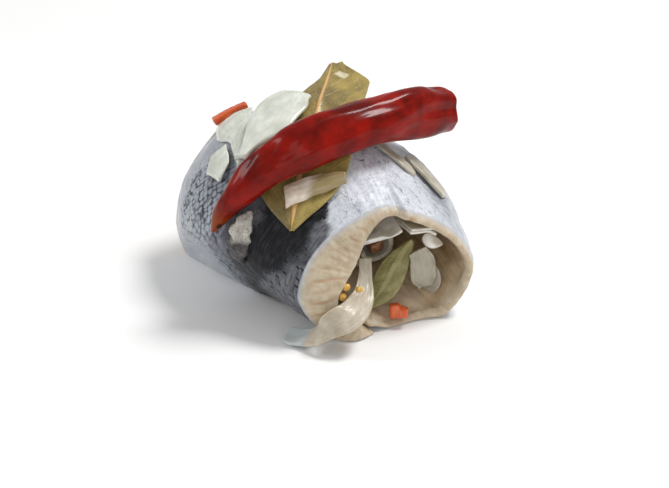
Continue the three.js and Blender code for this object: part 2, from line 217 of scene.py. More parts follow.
def add_piece(name, node, points, faces, material, uv=None, fields=None):
    """A piece of the rollmop from points in millimetres; faces is a list of quad or triangle arrays."""
    faces = facing_out(points, faces)
    mesh = bpy.data.meshes.new(name)
    mesh.from_pydata(((points + SHIFT) * MM).tolist(), [], [f for part in faces for f in part.tolist()])
    mesh.polygons.foreach_set("use_smooth", np.ones(len(mesh.polygons), bool))
    loops = np.zeros(len(mesh.loops), int)
    mesh.loops.foreach_get("vertex_index", loops)
    if uv is not None:
        layer = mesh.uv_layers.new(name="UVMap")
        layer.data.foreach_set("uv", np.asarray(uv, float)[loops].ravel())
    for key, values in (fields or {}).items():
        attribute = mesh.attributes.new(key, "FLOAT", "POINT")
        attribute.data.foreach_set("value", np.asarray(values, float).ravel())
    mesh.materials.append(material)
    mesh.update()
    obj = new_object(name, mesh)
    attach(obj, "root")
    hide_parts(node)


def ends_crowded(count, low=0.0, high=1.0, crowd=0.5):
    """Steps from low to high that are closer together towards both ends."""
    t = np.linspace(0, 1, count)
    return low + (high - low) * lerp(t, 0.5 - 0.5 * np.cos(np.pi * t), crowd)


def rounded(t, share):
    """1 in the middle of t from -1 to 1, falling to 0 at the ends as a quarter circle this wide."""
    over = np.clip((np.abs(t) - (1 - share)) / share, 0, 1)
    return np.sqrt(np.clip(1 - over * over, 0, 1))


def sheet(point, nu, nv, share_u=0.06, share_v=0.12):
    """A closed thin solid from point(u, v, w) whose edges are rounded. Returns points, faces, u, v, w."""
    us, vs = ends_crowded(nu), ends_crowded(nv, -1, 1)
    u, v = np.meshgrid(us, vs, indexing="ij")
    half = 0.5 * rounded(2 * u - 1, share_u) * rounded(v, share_v)
    top, bottom = point(u, v, 0.5 + half), point(u, v, 0.5 - half)
    edge = np.zeros((nu, nv), bool)
    edge[[0, -1], :] = edge[:, [0, -1]] = True
    upper = np.arange(nu * nv).reshape(nu, nv)
    lower = upper.copy()
    lower[~edge] = nu * nv + np.arange((~edge).sum())
    points = np.vstack([top.reshape(-1, 3), bottom[~edge]])
    quads = grid_faces(nu, nv)
    under = lower.ravel()[quads][:, ::-1]
    flat = lambda a: np.concatenate([a.ravel(), a[~edge]])
    side = np.concatenate([np.ones(nu * nv), np.zeros((~edge).sum())])
    return points, [quads, under], flat(u), flat(v), side


def tube_faces(rows, cols):
    """Quads round a tube, and a fan at each end about the two points that follow its rows."""
    j = np.arange(cols)
    beside = (j + 1) % cols
    start, middle = (rows - 1) * cols, rows * cols
    first = np.stack([np.full(cols, middle), beside, j], -1)
    last = np.stack([np.full(cols, middle + 1), start + j, start + beside], -1)
    return [grid_faces(rows, cols, closed=True), first, last]


def tube(point, rings, around):
    """A closed solid from rings of point(s, turn). Returns points, faces, s, turn."""
    s = ends_crowded(rings, crowd=0.35)
    turn = np.linspace(0, 2 * np.pi, around, endpoint=False)
    s2, t2 = np.meshgrid(s[1:-1], turn, indexing="ij")
    body = point(s2, t2).reshape(-1, 3)
    ends = point(np.array([0.0, 1.0]), np.array([0.0, 0.0]))
    return (np.vstack([body, ends]), tube_faces(rings - 2, around),
            np.concatenate([s2.ravel(), [0, 1]]), np.concatenate([t2.ravel(), [0, 0]]))


# ---- Materials ----


def colour(r, g, b):
    """A linear colour from the eight-bit one seen on a screen."""
    c = np.array([r, g, b]) / 255
    return (*np.where(c <= 0.04045, c / 12.92, ((c + 0.055) / 1.055) ** 2.4), 1.0)


def scaled(shade, by):
    return (*(min(1, by * c) for c in shade[:3]), 1)


class Shader:
    """A material's nodes, wired by short calls that return output sockets."""

    def __init__(self, name):
        self.material = bpy.data.materials.new(name)
        self.material.use_nodes = True
        self.tree = self.material.node_tree
        self.surface = self.tree.nodes["Principled BSDF"]

    def put(self, socket, value):
        if isinstance(value, bpy.types.NodeSocket):
            self.tree.links.new(value, socket)
        elif value is not None:
            socket.default_value = value

    def node(self, kind, inputs=None, output=0, **settings):
        node = self.tree.nodes.new(kind)
        for key, value in settings.items():
            setattr(node, key, value)
        for key, value in (inputs or {}).items():
            self.put(node.inputs[key], value)
        return node.outputs[output]

    def math(self, operation, a, b=None, c=None, clamp=False):
        return self.node("ShaderNodeMath", {0: a, 1: b, 2: c}, operation=operation, use_clamp=clamp)

    def plus(self, a, b):
        return self.math("ADD", a, b)

    def minus(self, a, b):
        return self.math("SUBTRACT", a, b)

    def times(self, a, b, clamp=False):
        return self.math("MULTIPLY", a, b, clamp=clamp)

    def field(self, name):
        return self.node("ShaderNodeAttribute", output="Fac", attribute_name=name)

    def uv(self, scale=(1, 1, 1), turn=0.0):
        at = self.node("ShaderNodeUVMap", uv_map="UVMap")
        return self.node("ShaderNodeMapping", {"Vector": at, "Rotation": (0, 0, turn), "Scale": scale})

    def place(self):
        """Object coordinates in millimetres."""
        at = self.node("ShaderNodeTexCoord", output="Object")
        return self.node("ShaderNodeMapping", {"Vector": at, "Scale": (1 / MM,) * 3})

    def noise(self, at, scale, detail=3.0, rough=0.55, warp=0.0):
        return self.node("ShaderNodeTexNoise", {
            "Vector": at, "Scale": scale, "Detail": detail, "Roughness": rough, "Distortion": warp})

    def cells(self, at, scale, feature="F1", random=1.0, flat=False):
        return self.node("ShaderNodeTexVoronoi", {"Vector": at, "Scale": scale, "Randomness": random},
                         feature=feature, voronoi_dimensions="2D" if flat else "3D")

    def ramp(self, value, *stops):
        """Maps value through (position, grey or colour) stops."""
        node = self.tree.nodes.new("ShaderNodeValToRGB")
        self.put(node.inputs[0], value)
        elements = node.color_ramp.elements
        while len(elements) < len(stops):
            elements.new(0.5)
        for element, (position, shade) in zip(elements, stops):
            element.position = position
            element.color = shade if isinstance(shade, tuple) else (shade, shade, shade, 1)
        return node.outputs[0]

    def mix(self, factor, a, b):
        node = self.tree.nodes.new("ShaderNodeMix")
        node.data_type = "RGBA"
        self.put(node.inputs[0], factor)
        self.put(node.inputs[6], a)
        self.put(node.inputs[7], b)
        return node.outputs[2]

    def fade(self, value, low, high, most, a, b):
        """Turns a into b, up to this share of b, as value goes from low to high."""
        return self.mix(self.ramp(value, (low, 0.0), (high, most)), a, b)

    def bump(self, height, distance, strength):
        return self.node("ShaderNodeBump", {"Height": height, "Distance": distance * MM, "Strength": strength})

    def set(self, **values):
        for key, value in values.items():
            self.put(self.surface.inputs[key.replace("_", " ")], value)
        return self.material


def fish_material():
    """Silver skin with a blue-black band, scales and specks, and cream flesh where cut is 1. Painted shade
    darkens the grey front and, with the band, the lower front and the skin under the leaf and chilli; painted
    light brightens the inside of the mouth.
    """
    m = Shader("herring")
    mm, body = m.uv(), m.place()
    dark, dusk, scales, white, specks, cut, valley, deep = (
        m.field(key) for key in ("dark", "dusk", "scales", "white", "specks", "cut", "valley", "deep"))

    cloud = m.noise(body, 0.11, 4)
    streak = m.noise(m.uv((0.3, 1.3, 1)), 1.0, 5, 0.62)
    fine = m.noise(body, 1.5, 4, 0.6)
    silver = m.fade(cloud, 0.35, 0.65, 1.0, colour(168, 174, 182), colour(196, 200, 205))
    silver = m.fade(streak, 0.45, 0.72, 0.5, silver, colour(140, 147, 158))
    pale = m.fade(fine, 0.35, 0.7, 1.0, colour(197, 201, 210), colour(224, 226, 231))
    pale = m.fade(streak, 0.5, 0.72, 0.6, pale, colour(172, 178, 190))
    blotch = m.noise(m.uv((0.16, 0.22, 1)), 1.0, 5, 0.68)
    pale = m.fade(blotch, 0.57, 0.7, 0.6, pale, colour(150, 154, 166))
    winding = m.noise(m.uv((0.2, 0.11, 1), 0.6), 1.0, 4, 0.6, 0.8)
    vein = m.ramp(m.math("ABSOLUTE", m.minus(winding, 0.5)), (0.003, 1.0), (0.016, 0.0))
    vein = m.times(vein, m.ramp(m.noise(mm, 0.16, 2), (0.5, 0.0), (0.6, 0.85)))
    pale = m.mix(vein, pale, colour(74, 78, 92))
    skin = m.mix(white, silver, pale)
    # Grey skin on the front and towards the mouth: partly the skin's own grey, partly painted shade.
    grey = m.fade(streak, 0.38, 0.66, 1.0, colour(66, 67, 74), colour(122, 123, 128))
    ragged = m.times(m.minus(streak, 0.5), 1.2)
    skin = m.fade(m.plus(dusk, m.times(ragged, 0.8)), 0.2, 0.85, 1.0, skin, grey)

    # Scales: a slanted lattice with dark corners, in patches.
    lattice = m.node("ShaderNodeMapping", {"Vector": mm, "Rotation": (0, 0, 0.72), "Scale": (0.66, 0.6, 1)})
    warp = m.node("ShaderNodeTexNoise", {"Vector": mm, "Scale": 0.3, "Detail": 1.0}, output=1)
    lattice = m.node("ShaderNodeVectorMath", {0: lattice, 1: warp}, operation="ADD")
    scale = m.cells(lattice, 1.0, "F1", 0.48)
    corner = m.ramp(scale, (0.47, 0.0), (0.62, 1.0))
    patch = m.ramp(m.noise(mm, 0.5, 3, 0.6), (0.38, 0.3), (0.56, 1.0))
    mark = m.times(m.times(m.times(corner, patch), scales), 1.4, clamp=True)
    tone = m.fade(scale, 0.0, 0.5, 1.0, colour(170, 175, 184), colour(122, 128, 142))
    skin = m.mix(m.times(scales, 0.6), skin, tone)
    skin = m.mix(mark, skin, colour(46, 49, 61))

    # The dark back band; it also stands for painted shade along the lower front and painted shadow under the
    # leaf and chilli.
    edge = m.plus(dark, m.plus(ragged, m.times(m.minus(fine, 0.5), 0.5)))
    night = m.fade(streak, 0.45, 0.72, 1.0, colour(8, 8, 9), colour(46, 48, 56))
    skin = m.fade(edge, 0.25, 0.7, 1.0, skin, night)

    # Black specks, longer than wide.
    dots = m.cells(m.uv((0.62, 0.3, 1), 0.5), 1.0, "F1", 1.0, True)
    some = m.ramp(m.noise(mm, 0.3, 2), (0.4, 0.0), (0.48, 1.0))
    dot = m.times(m.times(m.ramp(dots, (0.13, 1.0), (0.2, 0.0)), some), specks)
    skin = m.mix(dot, skin, colour(18, 18, 22))

    # Flesh.
    grain = m.noise(body, 0.45, 5, 0.6)
    marble = m.noise(m.uv((0.7, 0.16, 1)), 1.0, 4, 0.6)
    flesh = m.fade(grain, 0.34, 0.68, 1.0, colour(180, 162, 134), colour(205, 191, 166))
    flesh = m.fade(marble, 0.5, 0.7, 0.5, flesh, colour(217, 206, 186))
    flesh = m.mix(m.times(valley, 0.62), flesh, colour(174, 128, 90))
    stripes = m.noise(m.uv((0.34, 0.05, 1)), 1.0, 5, 0.65)
    inside = m.fade(stripes, 0.36, 0.66, 1.0, colour(152, 124, 86), colour(202, 176, 138))
    inside = m.fade(grain, 0.42, 0.72, 0.6, inside, colour(210, 184, 150))
    # Painted light: pale cream where the light reaches the floor inside and the edge of the mouth.
    inside = m.mix(m.times(dusk, 0.85), inside, m.mix(grain, colour(216, 188, 154), colour(242, 224, 196)))
    flesh = m.mix(deep, flesh, inside)
    base = m.mix(cut, skin, flesh)

    relief = m.plus(m.times(m.times(scale, scales), -1.1), m.times(fine, 0.3))
    relief = m.plus(relief, m.times(streak, 0.35))
    normal = m.bump(relief, 0.4, 0.7)
    rough = m.ramp(fine, (0.3, 0.34), (0.7, 0.5))
    return m.set(Base_Color=base, Roughness=rough, Normal=normal, Coat_Weight=0.13, Coat_Roughness=0.22,
                 Subsurface_Weight=m.times(cut, 0.14), Subsurface_Radius=(1.0, 0.6, 0.35),
                 Subsurface_Scale=1.6 * MM, Specular_IOR_Level=0.25)


def onion_material(name, pale, shade, lines=1.3, stain=None, gloss=0.45):
    """Wet onion with fine fibres along its length; stain is a colour it takes on towards u = 1."""
    m = Shader(name)
    fibre = m.noise(m.uv((0.12, lines, 1)), 1.0, 4, 0.6)
    cloud = m.noise(m.place(), 0.2, 3)
    base = m.fade(cloud, 0.35, 0.66, 1.0, shade, pale)
    base = m.fade(fibre, 0.48, 0.68, 0.45, base, shade)
    base = m.mix(m.ramp(fibre, (0.3, 0.5), (0.42, 0.0)), base, scaled(pale, 1.15))
    if stain is not None:
        reach = m.plus(m.field("stain"), m.times(m.minus(cloud, 0.5), 0.9))
        base = m.fade(reach, 0.3, 0.75, 1.0, base, stain)
    return m.set(Base_Color=base, Roughness=0.25 if gloss > 0.3 else 0.45, Normal=m.bump(fibre, 0.2, 0.55),
                 Subsurface_Weight=0.35, Subsurface_Radius=(1.0, 0.92, 0.7), Subsurface_Scale=1.3 * MM,
                 Coat_Weight=gloss, Coat_Roughness=0.14)


def leaf_material(name, bright, dull, rib, spacing=4.4):
    """A pickled bay leaf: olive mottling with painted shade on its left half, side veins and a pale midrib. UV
    is across and along in mm.
    """
    m = Shader(name)
    at = m.node("ShaderNodeSeparateXYZ", {0: m.node("ShaderNodeUVMap", uv_map="UVMap")})
    across = m.math("ABSOLUTE", at)
    along = at.node.outputs[1]
    cloud = m.noise(m.place(), 0.15, 5, 0.62)
    fine = m.noise(m.place(), 1.5, 4, 0.6)
    # Painted shade: the tone falls towards the left half (negative across), on top of the random mottling.
    uneven = m.plus(cloud, m.times(at, 0.012))
    base = m.fade(uneven, 0.36, 0.66, 1.0, dull, bright)
    base = m.fade(fine, 0.5, 0.78, 0.4, base, scaled(dull, 0.6))
    # Side veins leave the midrib at a slant and bend forwards.
    bent = m.minus(along, m.times(m.math("POWER", across, 1.25), 0.62))
    bent = m.plus(bent, m.times(m.noise(m.place(), 0.12, 2), 4.5))
    saw = m.math("FRACT", m.times(bent, 1 / spacing))
    vein = m.ramp(m.math("ABSOLUTE", m.minus(saw, 0.5)), (0.015, 1.0), (0.07, 0.0))
    net = m.ramp(m.cells(m.place(), 0.85, "DISTANCE_TO_EDGE"), (0.0, 1.0), (0.07, 0.0))
    base = m.mix(m.times(vein, 0.24), base, rib)
    base = m.mix(m.times(net, 0.12), base, rib)
    slim = m.math("MINIMUM", m.math("MULTIPLY_ADD", along, 0.004, 0.025), 0.1)
    midrib = m.ramp(m.times(across, slim), (0.03, 1.0), (0.055, 0.0))
    base = m.mix(midrib, base, rib)
    base = m.mix(m.field("pale"), base, colour(222, 214, 184))
    height = m.plus(m.times(vein, 0.5), m.times(net, 0.2))
    height = m.plus(height, m.times(fine, 0.3))
    return m.set(Base_Color=base, Roughness=m.ramp(fine, (0.3, 0.34), (0.7, 0.52)),
                 Normal=m.bump(height, 0.25, 0.6), Coat_Weight=0.2, Coat_Roughness=0.25)


def carrot_material(name, shade, light, streak):
    m = Shader(name)
    fibre = m.noise(m.uv((2.2, 0.35, 1)), 1.0, 4, 0.6)
    cloud = m.noise(m.place(), 0.4, 3)
    base = m.fade(cloud, 0.35, 0.68, 1.0, shade, light)
    base = m.fade(fibre, 0.45, 0.7, 0.6, base, streak)
    return m.set(Base_Color=base, Roughness=0.32, Normal=m.bump(fibre, 0.25, 0.7), Coat_Weight=0.4,
                 Coat_Roughness=0.15, Subsurface_Weight=0.15, Subsurface_Radius=(1.0, 0.4, 0.15),
                 Subsurface_Scale=1.5 * MM)


def chilli_material():
    m = Shader("chilli")
    cloud = m.noise(m.place(), 0.13, 4)
    fine = m.noise(m.uv((0.5, 0.12, 1)), 1.6, 5, 0.62)
    base = m.fade(cloud, 0.36, 0.66, 1.0, colour(88, 5, 0), colour(146, 15, 0))
    base = m.fade(fine, 0.52, 0.78, 0.35, base, colour(176, 32, 5))
    tip = m.plus(m.field("tip"), m.times(m.minus(cloud, 0.5), 0.6))
    base = m.fade(tip, 0.2, 0.85, 0.95, base, colour(134, 58, 10))
    spot = m.plus(m.field("spot"), m.times(m.minus(fine, 0.5), 1.1))
    base = m.fade(spot, 0.45, 0.7, 0.9, base, colour(26, 14, 6))
    base = m.mix(m.times(m.field("cut"), 0.7), base, colour(196, 60, 30))
    return m.set(Base_Color=base, Roughness=m.ramp(cloud, (0.3, 0.3), (0.7, 0.4)), Specular_IOR_Level=0.06,
                 Normal=m.bump(fine, 0.16, 0.6), Coat_Weight=0.25, Coat_Roughness=0.12,
                 Subsurface_Weight=0.05, Subsurface_Radius=(1.0, 0.15, 0.08), Subsurface_Scale=1.5 * MM)


def seed_material():
    m = Shader("mustard_seed")
    cloud = m.noise(m.place(), 0.7, 3)
    base = m.fade(cloud, 0.35, 0.65, 1.0, colour(196, 142, 48), colour(232, 190, 92))
    return m.set(Base_Color=base, Roughness=0.35, Normal=m.bump(m.noise(m.place(), 3.0), 0.1, 0.5),
                 Coat_Weight=0.5, Coat_Roughness=0.15, Subsurface_Weight=0.2,
                 Subsurface_Radius=(1.0, 0.7, 0.3), Subsurface_Scale=0.8 * MM)


def fin_material():
    m = Shader("fin_skin")
    cloud = m.noise(m.place(), 0.42, 5, 0.65)
    fine = m.noise(m.place(), 1.9, 4)
    base = m.fade(cloud, 0.42, 0.62, 1.0, colour(24, 23, 26), colour(96, 92, 90))
    pale = m.fade(cloud, 0.36, 0.56, 1.0, colour(172, 166, 152), colour(214, 211, 202))
    base = m.mix(m.field("pale"), base, pale)
    base = m.fade(fine, 0.5, 0.7, 0.6, base, colour(60, 54, 52))
    return m.set(Base_Color=base, Roughness=0.42, Normal=m.bump(fine, 0.4, 0.8), Coat_Weight=0.2)


fish = fish_material()
onion_white = onion_material("onion", colour(228, 231, 220), colour(202, 206, 193))
onion_glass = onion_material("onion_wet", colour(200, 196, 181), colour(164, 156, 137))
# onion_dim is a darker copy of the onion for the sheet hanging in the mouth: painted shade.
onion_dim = onion_material("onion_dim", colour(180, 173, 155), colour(142, 133, 114))
onion_strip = onion_material("onion_strip", colour(203, 194, 176), colour(172, 159, 137), 1.6,
                             colour(186, 192, 192), 0.15)
# onion_layers is a brighter copy of the onion for the layers and the lump in the shaded mouth: painted light.
onion_layers = onion_material("onion_layers", colour(251, 249, 242), colour(206, 200, 188), 0.5)
onion_stained = onion_material("onion_stained", colour(226, 216, 202), colour(192, 172, 150), 1.3,
                               colour(152, 134, 92))
leaf_top = leaf_material("bay_leaf", colour(170, 150, 80), colour(118, 104, 58), colour(218, 170, 108))
leaf_mouth = leaf_material("bay_leaf_wet", colour(170, 162, 108), colour(128, 120, 68),
                           colour(176, 168, 116), 3.4)
carrot = carrot_material("carrot", colour(186, 60, 6), colour(222, 90, 20), colour(236, 130, 60))
# carrot_dull is a dull brown copy of the carrot for the core deep in the roll: painted shade.
carrot_dull = carrot_material("carrot_deep", colour(112, 66, 36), colour(152, 96, 58), colour(170, 124, 88))
chilli_skin = chilli_material()
mustard = seed_material()
fin_skin = fin_material()

# ---- The rolled fillet ----


def sample(phi, stops):
    at, value = zip(*stops)
    return np.interp(phi, at, value)


# What a column of the fillet's closed skin is, going round its section.
SKIN, CORNER, FACE, LIP, INSIDE, FAR_EDGE = range(6)
CORNER_STEPS = 7


def fillet_columns(phi, reach_near):
    """Each column's place along the roll (-1 to 1), its depth (0 is the skin, 1 the inside) and its kind."""
    rim = thickness_at(phi, reach_near)
    outer_r, inner_r = np.minimum(0.8, 0.32 * rim), np.minimum(1.1, 0.36 * rim)
    limit = 1 - outer_r / HALF_LENGTH
    turn = np.linspace(0, np.pi / 2, CORNER_STEPS)[None, :]
    face = np.linspace(0, 1, 24)[None, 1:-1]
    skin = 1 - 2 * ends_crowded(98, crowd=0.25)[None, ::-1]
    far_turn = np.linspace(np.pi / 2, -np.pi / 2, 15)[None, :]
    v, w, kind = [], [], []
    for k, along, depth in (
            (SKIN, (skin[:, 1:-1] + 1) / 2 * (limit + 1) - 1, 0),
            (CORNER, 1 - outer_r * (1 - np.sin(turn)) / HALF_LENGTH, outer_r * (1 - np.cos(turn)) / rim),
            (FACE, 1, lerp(outer_r / rim, 1 - inner_r / rim, face)),
            (LIP, 1 - inner_r * (1 - np.cos(turn)) / HALF_LENGTH, 1 - inner_r * (1 - np.sin(turn)) / rim),
            (INSIDE, (-skin[:, 1:-1:2] + 1) / 2 * (2 - inner_r / HALF_LENGTH) - 1, 1),
            (FAR_EDGE, -1 - 0.03 * np.cos(far_turn), 0.5 + 0.5 * np.sin(far_turn))):
        along, depth, _ = np.broadcast_arrays(along, depth, phi)
        v.append(along)
        w.append(depth)
        kind.extend([k] * along.shape[1])
    return np.hstack(v), np.hstack(w), np.array(kind)


def muscle_valleys(phi, w, on_face):
    """Ridges of muscle across the cut face: their strength, and the narrow valleys between each two."""
    rng = np.random.default_rng(11)
    seams = np.cumsum(rng.uniform(6.4, 11.5, 60)) + 12
    seam_depth = rng.uniform(0.35, 1, 60)
    lean = phi - 5.5 * (w - 0.45) + 1.2 * np.sin(5 * w + 0.13 * phi)
    gap = np.abs(lean[..., None] - seams)
    valley = np.exp(-(gap.min(-1) / 1.35) ** 2) * seam_depth[gap.argmin(-1)]
    middle = smooth(0.03, 0.32, w) * smooth(0.95, 0.5, w + 0.12 * np.sin(0.21 * phi))
    strong = lerp(0.35, 1, smooth(30, 55, phi)) * smooth(215, 165, phi) + 0.3 * smooth(200, 230, phi)
    valley = valley * middle * strong * on_face
    notch = 0.8 * bump(phi, NOTCH_AT + 6, 5) * on_face * smooth(0.1, 0.4, w)
    return on_face * middle * strong, np.maximum(valley, notch)


def end_caps(v, kind):
    """Triangles that close the first and last row, between the skin's columns and the inside's."""
    rows, cols = v.shape
    outer = list(np.flatnonzero(kind <= CORNER))
    inner = list(range(cols - 1, outer[-1], -1))
    caps = []
    for row in (0, rows - 1):
        i = j = 0
        while i < len(outer) - 1 or j < len(inner) - 1:
            if j == len(inner) - 1 or (
                    i < len(outer) - 1 and v[row, outer[i + 1]] <= v[row, inner[j + 1]]):
                triangle = [outer[i], inner[j], outer[i + 1]]
                i += 1
            else:
                triangle = [outer[i], inner[j], inner[j + 1]]
                j += 1
            caps.append([row * cols + c for c in (triangle[::-1] if row else triangle)])
    return np.array(caps)


def fillet_fields(p, phi, x, kind, valley):
    """Where each colour of the fillet goes; x runs from -1 at the far end to 1 at the mouth."""
    wander = 0.05 * ripple(p, 11, 8) + 0.03 * ripple(p, 4, 9)
    # Darkness of the back band round the roll. Along the bottom (phi 15 to 60) and under the leaf and chilli
    # (phi 95 to 200) it is also painted shade and painted shadow.
    spine = sample(phi, [(20, 0.12), (45, 0.12), (60, 0.15), (75, 0.27), (90, 0.46), (105, 0.58), (120, 0.67),
                         (135, 0.67), (150, 0.57), (170, 0.42), (200, 0.36)])
    half = sample(phi, [(20, 0.2), (60, 0.2), (75, 0.24), (90, 0.3), (105, 0.34), (120, 0.35), (135, 0.28),
                        (150, 0.2), (170, 0.14), (200, 0.08)])
    force = sample(phi, [(15, 0.8), (50, 0.85), (68, 0.7), (85, 1), (150, 1), (165, 0.85), (182, 0.4),
                         (205, 0.15), (230, 0)])
    dark = force * smooth(1.3, 0.35, np.abs(x + wander - spine) / half)

    # The white side begins at this angle, and the grey skin ends there. The grey, with the two patches added
    # below, is partly the skin's own and partly painted shade on the front.
    line = sample(x, [(0.3, 206), (0.44, 184), (0.55, 166), (0.65, 153), (0.79, 143), (0.95, 137), (1, 136)])
    line = line + 90 * wander
    dusk = smooth(-0.3, 0.0, x + wander) * smooth(18, 40, phi) * smooth(line + 6, line - 14, phi)
    dusk = np.maximum(dusk, 0.75 * bump(phi, 122, 30) * bump(x, -0.26, 0.4))
    dusk = np.maximum(dusk, 0.5 * bump(phi, 240, 30) * bump(x, 0.7, 0.5))
    white = smooth(line - 9, line + 9, phi) * smooth(300, 262, phi) * (1 - 0.75 * smooth(212, 234, phi))
    white = np.maximum(white, 0.75 * smooth(165, 190, phi) * smooth(0.3, 0.1, x))
    white = np.maximum(white, 0.35 * smooth(-0.75, -0.98, x))

    scales = bump(phi, 108, 46) * smooth(0.18, -0.02, x) * smooth(-0.92, -0.62, x)
    scales = np.maximum(scales, 0.85 * bump(phi, 70, 34) * bump(x, -0.04, 0.4))
    specks = smooth(0.3, 0.5, x) * smooth(30, 55, phi) * smooth(135, 110, phi)
    specks = np.maximum(specks, 0.22 * smooth(150, 180, phi) * smooth(0.1, 0.4, x))

    cut = (kind > CORNER) * np.ones_like(x)
    cut[:, kind == CORNER] = np.linspace(0, 1, CORNER_STEPS) ** 0.55
    deep = (kind == INSIDE) * smooth(0.35, 0.9, smooth(1.0, 0.7, x) + 0.55)
    # On the inside, this field is painted light instead: it marks what the light reaches, the floor and the edge
    # of the mouth.
    lit = smooth(290, 330, phi) * smooth(430, 395, phi) * smooth(0.1, 0.6, x)
    dusk = np.where(kind == INSIDE, np.maximum(lit, 0.4 * smooth(0.75, 1, x)), dusk)
    off_edge = kind != CORNER
    return {"dark": dark * off_edge, "dusk": dusk * off_edge, "scales": scales * off_edge,
            "white": white * off_edge, "specks": specks * off_edge, "cut": cut,
            "valley": np.clip(valley * 1.1, 0, 1), "deep": deep}


def fillet():
    """One closed skin: rows round the roll, each a loop over skin, cut face, inside and far edge."""
    phi = np.concatenate([
        np.linspace(WRAP_FROM, 30, 14, endpoint=False), np.linspace(30, 150, 150, endpoint=False),
        np.linspace(150, 376, 180, endpoint=False), np.linspace(376, WRAP_TO, 52)])[:, None]
    tuck = smooth(376, 424, phi)
    v, w, kind = fillet_columns(phi, lerp(1, 0.55, tuck))
    xi = v * np.where(v > 0, lerp(1, 0.55, tuck), lerp(1, 0.8, tuck))
    past = np.abs(phi - (WRAP_TO + WRAP_FROM) / 2) - ((WRAP_TO - WRAP_FROM) / 2 - END_ROUNDING)
    ends = np.sqrt(np.clip(1 - np.clip(past / END_ROUNDING, 0, 1) ** 2, 0.0004, 1))
    x = np.clip(xi, -1, 1)
    thick = thickness_at(phi, x)
    p = roll_point(phi, xi, inset_at(phi, xi) + (0.5 + (w - 0.5) * ends) * thick)

    rim_way = smooth(0.7, 1, v)
    notch = NOTCH_STEP * smooth(NOTCH_AT + 0.5, NOTCH_AT + 3, phi) * smooth(330, 250, phi)
    wave = 0.5 * np.sin(np.radians(phi * 5.1)) * np.where(v > 0, rim_way, smooth(-0.7, -1, v))
    flap = FLAP_REACH * (1 - 0.4 * w) * bump(phi, 36, 30)
    on_face = smooth(0.97, 1, v) * (kind > SKIN)
    roundness = 0.7 * 4 * w * (1 - w) * on_face
    p[..., 0] += rim_way * (notch + flap + RIM_BULGE * w * bump(phi, 92, 70)) + wave + roundness

    flat = p.reshape(-1, 3)
    faces = grid_faces(*v.shape, closed=True)
    normal = vertex_normals(flat, faces)
    from_axis = np.einsum("ij,ij->i", normal, flat - [0, 0, 18]).reshape(v.shape)
    outward = np.sign(from_axis[:, :60].sum())
    ridge, valley = muscle_valleys(phi, w, on_face)
    lift = -0.26 * valley + 0.16 * ridge
    skin = 0.22 * ripple(p, 9, 3) + 0.1 * ripple(p, 3.2, 4)
    inside = 0.25 * ripple(p, 7, 5) + 0.12 * ripple(p * [0.3, 1, 1], 2.6, 6)
    lift = lift + (kind == SKIN) * skin * smooth(0, 2, p[..., 2]) + (kind == INSIDE) * inside
    lift = lift + 0.05 * ripple(p, 2.4, 7) * on_face
    lift = lift * (p[..., 2] >= 0.6)
    flat = flat + (outward * lift.reshape(-1, 1)) * normal
    flat[:, 2] = np.maximum(flat[:, 2], 0)

    uv = np.stack([phi * SKIN_PER_DEGREE * np.ones_like(v), xi * HALF_LENGTH + w * thick], -1).reshape(-1, 2)
    add_piece("fillet_roll", "fillet", flat, [faces, end_caps(v, kind)], fish, uv,
              fillet_fields(p, phi, x, kind, valley))


def fin():
    """What is left of the back fin, a crumpled ridge."""

    def point(s, turn):
        girth = np.sin(np.pi * np.clip(s, 0, 1)) ** 0.6
        crumple = 1 + 0.13 * np.sin(9 * s * np.pi + turn) + 0.1 * np.sin(3 * turn)
        crumple = crumple + 0.05 * np.sin(23 * s + 3 * turn + 2 * np.sin(11 * s))
        crumple = crumple + 0.03 * np.sin(41 * s - 5 * turn)
        xi = lerp(0.3, 0.4, s) + 0.1 * girth * crumple * np.cos(turn)
        return roll_point(lerp(111, 86, s), xi, -(0.4 + 2.8 * girth * crumple * np.sin(turn)))

    points, faces, s, turn = tube(point, 70, 44)
    pale = smooth(0.6, 0.45, s + 0.05 * np.sin(3 * turn)) * smooth(1.6, 2.4, (turn + 1.2) % 6.28 + 0.9)
    add_piece("fin_stub", "fillet", points, faces, fin_skin, fields={"pale": pale})


SEED_RADIUS = 1.05


def seed_piece(name, node, at, seed):
    rng = np.random.default_rng(seed)
    squash = rng.uniform(0.9, 1.04, 3)

    def point(s, turn):
        r = SEED_RADIUS * np.sin(np.pi * s)
        way = np.stack([r * np.cos(turn), r * np.sin(turn), -SEED_RADIUS * np.cos(np.pi * s)], -1)
        return np.array(at) + way * squash * (1 + 0.03 * ripple(way, 1.6, seed)[..., None])

    points, faces, _, _ = tube(point, 18, 26)
    add_piece(name, node, points, faces, mustard)


fillet()
fin()
seed_piece("seed_wall_a", "fillet", (31.1, -13.7, 15.1), 1)
seed_piece("seed_wall_b", "fillet", (31.2, -15, 12.8), 2)
seed_piece("seed_tail", "onion_tail", (31.4, -9.9, 13.1), 3)

# ---- Thin pieces on top ----


def blunt(t):
    """A width that grows as a quarter circle up to t = 1."""
    t = np.asarray(t, float)
    return np.where(t < 1, np.maximum(0.14, np.sqrt(np.clip(1 - (1 - t) ** 2, 0, 1))), 1.0)


def pointed(t):
    """A width that grows from a leaf's point up to t = 1."""
    t = np.asarray(t, float)
    return np.where(t < 1, np.maximum(0.06, 1 - np.clip(1 - t, 0, 1) ** 2.3), 1.0)


def flat_lift(u, v, x, y):
    return 0 * u


